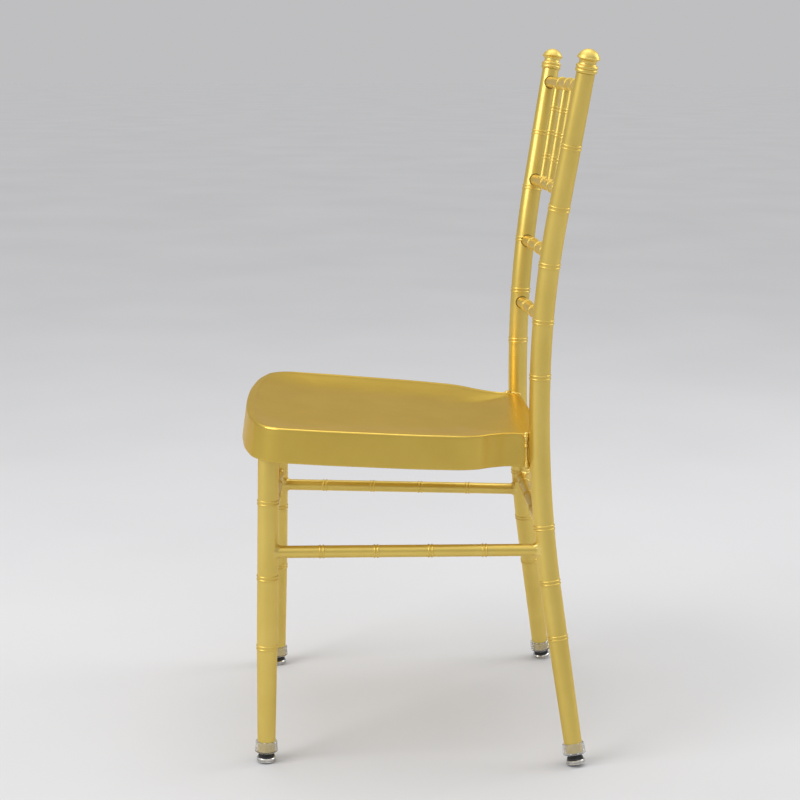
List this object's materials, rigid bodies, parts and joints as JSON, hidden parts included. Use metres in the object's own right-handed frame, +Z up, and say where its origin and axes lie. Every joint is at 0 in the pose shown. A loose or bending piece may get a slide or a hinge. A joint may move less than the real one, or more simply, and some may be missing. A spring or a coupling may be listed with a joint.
{
  "type": "chiavari chair",
  "caption": "Armless side chair with a welded bamboo-ringed tube frame, bowed spindle back, dished sheet seat, splayed rear legs and screw-in levelling glides.",
  "frame": {"origin": "on the floor under the middle of the chair's overall box", "axes": "+Z up, -Y the way the sitter faces, +X the sitter's left"},
  "size_m": [0.4388, 0.4527, 0.92],
  "materials": {
    "gold_metal": "gold coating on welded steel, semi-gloss",
    "plated_metal": "bright plated",
    "screw_metal": "plated screw",
    "black_rubber": "matt moulded",
    "clear_plastic": "clear flexible cup",
    "plug_plastic": "moulded insert"
  },
  "bodies": {
    "frame": {"rear_upright_left": "gold_metal", "rear_upright_right": "gold_metal", "finial_left": "gold_metal", "finial_right": "gold_metal", "seat_pan": "gold_metal", "front_leg_left": "gold_metal", "front_leg_right": "gold_metal", "crest_rail": "gold_metal", "upper_rail": "gold_metal", "middle_rail": "gold_metal", "lower_rail": "gold_metal", "spindle_1": "gold_metal", "spindle_2": "gold_metal", "spindle_3": "gold_metal", "spindle_4": "gold_metal", "spindle_5": "gold_metal", "side_stretcher_left": "gold_metal", "side_stretcher_right": "gold_metal", "front_stretcher": "gold_metal", "rear_stretcher": "gold_metal", "glide_sleeve_front_left": "clear_plastic", "foot_plug_front_left": "plug_plastic", "glide_sleeve_front_right": "clear_plastic", "foot_plug_front_right": "plug_plastic", "glide_sleeve_rear_left": "clear_plastic", "foot_plug_rear_left": "plug_plastic", "glide_sleeve_rear_right": "clear_plastic", "foot_plug_rear_right": "plug_plastic"},
    "glide_front_left": {"glide_base_front_left": "plated_metal", "glide_cushion_front_left": "black_rubber", "glide_stem_front_left": "screw_metal"},
    "glide_front_right": {"glide_base_front_right": "plated_metal", "glide_cushion_front_right": "black_rubber", "glide_stem_front_right": "screw_metal"},
    "glide_rear_left": {"glide_base_rear_left": "plated_metal", "glide_cushion_rear_left": "black_rubber", "glide_stem_rear_left": "screw_metal"},
    "glide_rear_right": {"glide_base_rear_right": "plated_metal", "glide_cushion_rear_right": "black_rubber", "glide_stem_rear_right": "screw_metal"}
  },
  "joints": [
    {"name": "glide_front_left_screw", "type": "slide", "parent": "frame", "child": "glide_front_left", "axis": [0.03, -0.0171, -0.9994], "range_m": [0, 0.008]},
    {"name": "glide_front_right_screw", "type": "slide", "parent": "frame", "child": "glide_front_right", "axis": [-0.03, -0.0171, -0.9994], "range_m": [0, 0.008]},
    {"name": "glide_rear_left_screw", "type": "slide", "parent": "frame", "child": "glide_rear_left", "axis": [0.1701, 0.1431, -0.975], "range_m": [0, 0.008]},
    {"name": "glide_rear_right_screw", "type": "slide", "parent": "frame", "child": "glide_rear_right", "axis": [-0.1701, 0.1431, -0.975], "range_m": [0, 0.008]}
  ]
}
